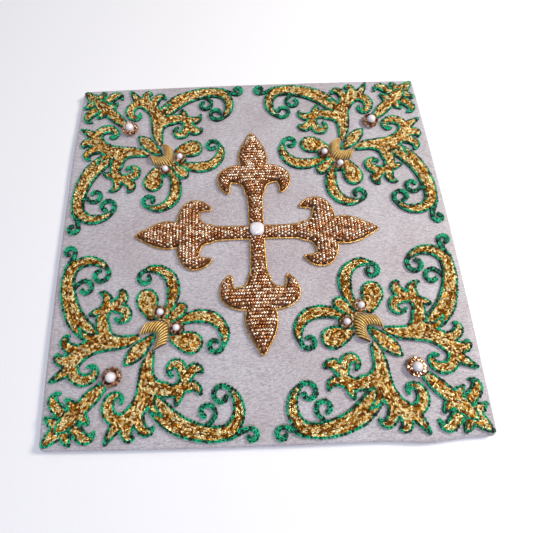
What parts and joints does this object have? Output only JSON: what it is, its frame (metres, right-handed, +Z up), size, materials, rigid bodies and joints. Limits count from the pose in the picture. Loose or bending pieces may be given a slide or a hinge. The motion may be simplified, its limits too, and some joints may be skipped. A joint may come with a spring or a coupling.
{
  "type": "chalice pall",
  "caption": "Stiff square altar cloth that covers a chalice, with a padded fleury cross, scrollwork corners in chain stitch, bullion collars and pearls in bead crowns.",
  "frame": {"origin": "middle of the underside's bounding box, on the surface that the pall rests on", "axes": "+Z up through the embroidered face, +X to the right edge, +Y to the back edge"},
  "size_m": [0.1678, 0.1672, 0.0091],
  "materials": {
    "silver_grey_cloth": "satin weave",
    "gold_chain_stitch": "metallic thread in chain stitch, edged in green thread",
    "gold_cord": "bright twisted metal thread",
    "rose_gold_purl": "cut metal purl",
    "pearl": "pearly"
  },
  "bodies": {
    "root": {"pall": "silver_grey_cloth", "cross": "rose_gold_purl", "cross_cord": "gold_cord", "cabochon": "pearl", "leaf_nw": "gold_chain_stitch", "flower_nw": "gold_chain_stitch", "spray_nw": "gold_chain_stitch", "pearl_nw_tip": "pearl", "crown_nw_tip": "rose_gold_purl", "branch_nw_a": "gold_chain_stitch", "collar_nw": "gold_cord", "pearl_nw_a": "pearl", "crown_nw_a": "rose_gold_purl", "branch_nw_b": "gold_chain_stitch", "pearl_nw_b": "pearl", "crown_nw_b": "rose_gold_purl", "leaf_ne": "gold_chain_stitch", "flower_ne": "gold_chain_stitch", "spray_ne": "gold_chain_stitch", "pearl_ne_tip": "pearl", "crown_ne_tip": "rose_gold_purl", "branch_ne_a": "gold_chain_stitch", "collar_ne": "gold_cord", "pearl_ne_a": "pearl", "crown_ne_a": "rose_gold_purl", "branch_ne_b": "gold_chain_stitch", "pearl_ne_b": "pearl", "crown_ne_b": "rose_gold_purl", "leaf_sw": "gold_chain_stitch", "flower_sw": "gold_chain_stitch", "spray_sw": "gold_chain_stitch", "pearl_sw_tip": "pearl", "crown_sw_tip": "rose_gold_purl", "branch_sw_a": "gold_chain_stitch", "collar_sw": "gold_cord", "pearl_sw_a": "pearl", "crown_sw_a": "rose_gold_purl", "branch_sw_b": "gold_chain_stitch", "pearl_sw_b": "pearl", "crown_sw_b": "rose_gold_purl", "leaf_se": "gold_chain_stitch", "flower_se": "gold_chain_stitch", "spray_se": "gold_chain_stitch", "pearl_se_tip": "pearl", "crown_se_tip": "rose_gold_purl", "branch_se_a": "gold_chain_stitch", "collar_se": "gold_cord", "pearl_se_a": "pearl", "crown_se_a": "rose_gold_purl", "branch_se_b": "gold_chain_stitch", "pearl_se_b": "pearl", "crown_se_b": "rose_gold_purl"}
  },
  "joints": []
}
